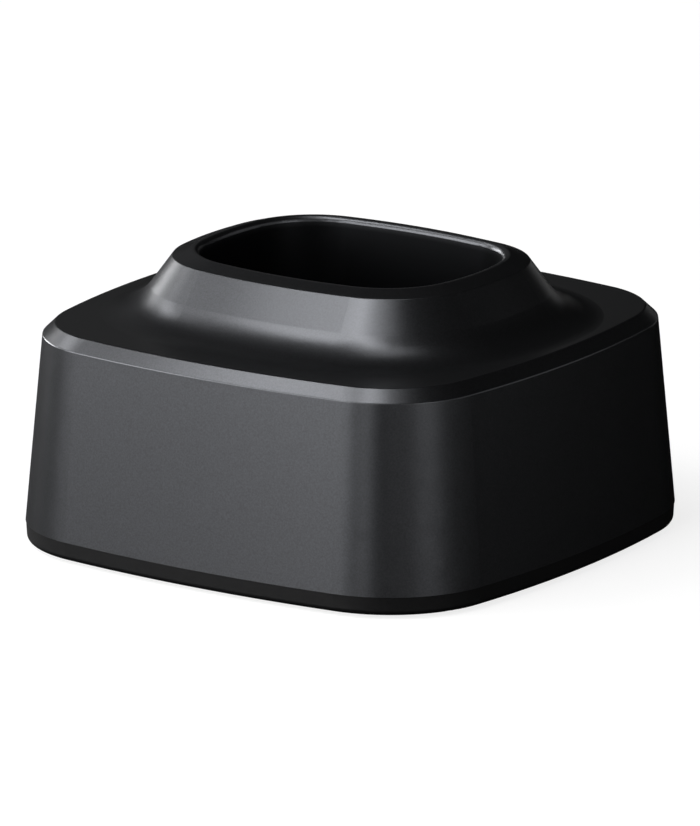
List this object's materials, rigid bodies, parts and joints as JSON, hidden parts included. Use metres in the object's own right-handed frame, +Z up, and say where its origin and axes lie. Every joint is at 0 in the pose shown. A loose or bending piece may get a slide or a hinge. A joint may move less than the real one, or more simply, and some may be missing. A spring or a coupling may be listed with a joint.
{
  "type": "clipper charging stand",
  "caption": "Square drop-in charging stand for a cordless hair clipper: leaning walls, chamfered shoulder, sloped collar round a deep well with sprung contacts.",
  "frame": {"origin": "centre of the footprint, on the surface that the feet stand on", "axes": "+Z up, -Y to the front, +Y to the rear wall with the supply inlet"},
  "size_m": [0.11, 0.1084, 0.057],
  "materials": {
    "dark_painted_shell": "satin dark grey paint on moulded plastic",
    "black_plastic": "moulded, fine matt texture",
    "foot_rubber": "matt",
    "black_zinc_steel": "black zinc plate",
    "zinc_steel": "bright zinc plate",
    "tinned_brass": "tin plate",
    "gold_plated_brass": "polished gold plate",
    "spring_steel": "drawn wire",
    "red_insulation": "soft extruded insulation",
    "black_insulation": "soft extruded insulation",
    "white_nylon": "moulded",
    "green_board": "solder mask",
    "can_aluminium": "drawn can",
    "green_chip": "coated"
  },
  "bodies": {
    "stand": {"housing": "dark_painted_shell", "base_tray": "black_plastic", "foot_front_left": "foot_rubber", "foot_front_right": "foot_rubber", "foot_rear_left": "foot_rubber", "foot_rear_right": "foot_rubber", "base_screws": "black_zinc_steel", "ballast_plate": "zinc_steel", "ballast_screws": "zinc_steel", "contact_block": "black_plastic", "contact_retainer": "black_plastic", "contact_screws": "zinc_steel", "contact_terminal_left": "tinned_brass", "contact_terminal_right": "tinned_brass", "contact_spring_left": "spring_steel", "contact_spring_right": "spring_steel", "positive_lead": "red_insulation", "negative_lead": "black_insulation", "wire_plug": "white_nylon", "plug_contacts": "tinned_brass", "wire_header": "white_nylon", "header_pins": "tinned_brass", "circuit_board": "green_board", "board_screws": "zinc_steel", "jack_body": "black_plastic", "jack_pin": "tinned_brass", "jack_terminals": "tinned_brass", "filter_capacitor": "can_aluminium", "resettable_fuse": "green_chip", "reverse_diode": "black_plastic"},
    "contact_left": {"contact_pin_left": "gold_plated_brass"},
    "contact_right": {"contact_pin_right": "gold_plated_brass"}
  },
  "joints": [
    {"name": "contact_slide_left", "type": "slide", "parent": "stand", "child": "contact_left", "axis": [0, 0, -1], "range_m": [0, 0.0018], "stiffness_N_per_m": 400, "springref_m": -0.0012, "deforming": ["contact_spring_left"]},
    {"name": "contact_slide_right", "type": "slide", "parent": "stand", "child": "contact_right", "axis": [0, 0, -1], "range_m": [0, 0.0018], "stiffness_N_per_m": 400, "springref_m": -0.0012, "deforming": ["contact_spring_right"]}
  ]
}
